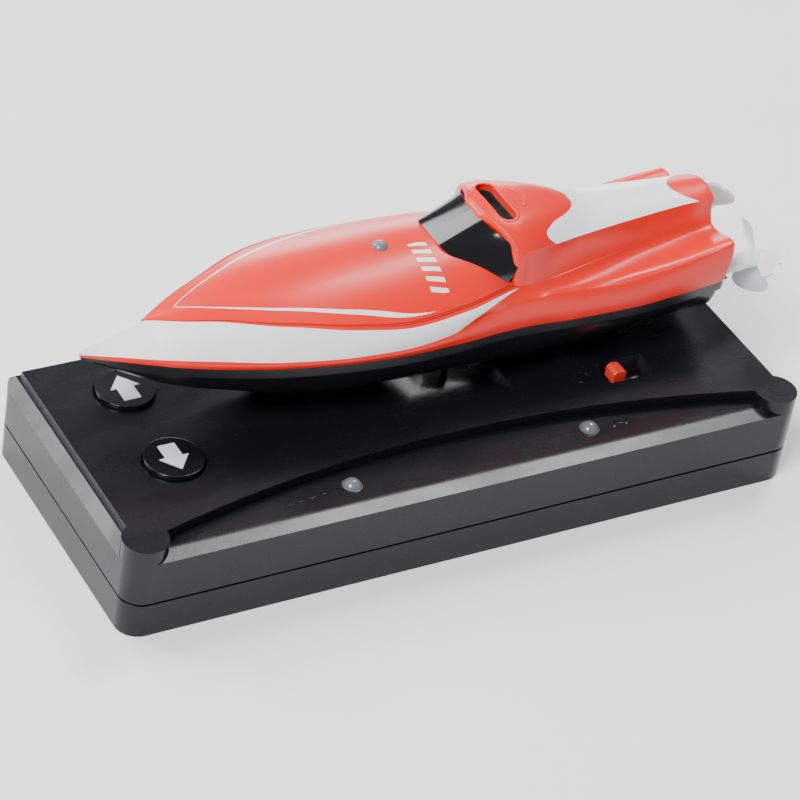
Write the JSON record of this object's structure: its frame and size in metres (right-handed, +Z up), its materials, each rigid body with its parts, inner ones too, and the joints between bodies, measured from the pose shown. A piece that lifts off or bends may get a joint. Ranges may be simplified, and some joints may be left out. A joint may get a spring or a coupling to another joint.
{
  "type": "toy boat with transmitter base",
  "caption": "Mini radio-controlled twin-propeller speedboat lying on its flat hand-held transmitter, which doubles as its charging base.",
  "frame": {"origin": "centre of the transmitter's flat underside", "axes": "+X towards the boat's stern along the length, -Y towards the user, +Z up"},
  "size_m": [0.1434, 0.0556, 0.0497],
  "materials": {
    "case_black": "satin moulded black plastic",
    "button_black": "smooth moulded black plastic",
    "switch_black": "moulded black plastic",
    "arrow_silver": "silver-grey inlaid plastic",
    "knob_red": "bright red plastic",
    "lamp_clear": "water-clear lamp dome",
    "screw_steel": "plated steel",
    "contact_metal": "nickel-plated sheet",
    "contact_gold": "plated brass",
    "cell_jacket": "plain printed film jacket",
    "board_green": "solder-masked laminate",
    "hull_black": "satin moulded black plastic",
    "deck_red": "painted orange-red and white plastic",
    "windshield_black": "high-gloss black plastic",
    "seal_rubber": "soft black rubber",
    "motor_steel": "drawn steel can",
    "propeller_white": "white moulded nylon"
  },
  "bodies": {
    "base": {"upper_case": "case_black", "lower_case": "case_black", "battery_door": "case_black", "battery_door_screw": "screw_steel", "case_screws": "screw_steel", "dry_cells": "cell_jacket", "cell_contacts": "contact_metal", "circuit_board": "board_green", "tact_switches": "switch_black", "slide_switch": "screw_steel", "function_lamp": "lamp_clear", "charge_lamp": "lamp_clear", "charging_tongue": "switch_black", "tongue_contacts": "contact_gold"},
    "power_switch": {"power_knob": "knob_red"},
    "forward_key": {"forward_button": "button_black", "forward_arrow": "arrow_silver"},
    "reverse_key": {"reverse_button": "button_black", "reverse_arrow": "arrow_silver"},
    "left_key": {"left_button": "button_black", "left_arrow": "arrow_silver"},
    "right_key": {"right_button": "button_black", "right_arrow": "arrow_silver"},
    "boat": {"hull": "hull_black", "deck_shell": "deck_red", "hull_seal": "seal_rubber", "windshield": "windshield_black", "deck_lamp": "lamp_clear", "charge_socket": "switch_black", "socket_contacts": "contact_gold", "port_motor": "motor_steel", "starboard_motor": "motor_steel", "motor_mount": "propeller_white", "boat_cell": "cell_jacket", "receiver_board": "board_green", "stern_tubes": "contact_gold", "hull_screws": "screw_steel"},
    "port_drive": {"port_propeller": "propeller_white", "port_shaft": "screw_steel", "port_coupling": "seal_rubber", "port_spindle": "screw_steel"},
    "starboard_drive": {"starboard_propeller": "propeller_white", "starboard_shaft": "screw_steel", "starboard_coupling": "seal_rubber", "starboard_spindle": "screw_steel"}
  },
  "joints": [
    {"name": "boat_lift", "type": "slide", "parent": "base", "child": "boat", "axis": [0, 0, 1], "range_m": [0, 0.06]},
    {"name": "port_spin", "type": "hinge", "parent": "boat", "child": "port_drive", "pos_m": [0.07, -0.00205, 0.032], "axis": [1, 0, 0], "continuous": true},
    {"name": "starboard_spin", "type": "hinge", "parent": "boat", "child": "starboard_drive", "pos_m": [0.07, 0.01655, 0.032], "axis": [1, 0, 0], "continuous": true},
    {"name": "power_slide", "type": "slide", "parent": "base", "child": "power_switch", "axis": [1, 0, 0], "range_m": [0, 0.0042]},
    {"name": "forward_press", "type": "slide", "parent": "base", "child": "forward_key", "axis": [0, 0, -1], "range_m": [0, 0.0008], "stiffness_N_per_m": 1500},
    {"name": "reverse_press", "type": "slide", "parent": "base", "child": "reverse_key", "axis": [0, 0, -1], "range_m": [0, 0.0008], "stiffness_N_per_m": 1500},
    {"name": "left_press", "type": "slide", "parent": "base", "child": "left_key", "axis": [0, 0, -1], "range_m": [0, 0.0008], "stiffness_N_per_m": 1500},
    {"name": "right_press", "type": "slide", "parent": "base", "child": "right_key", "axis": [0, 0, -1], "range_m": [0, 0.0008], "stiffness_N_per_m": 1500}
  ]
}
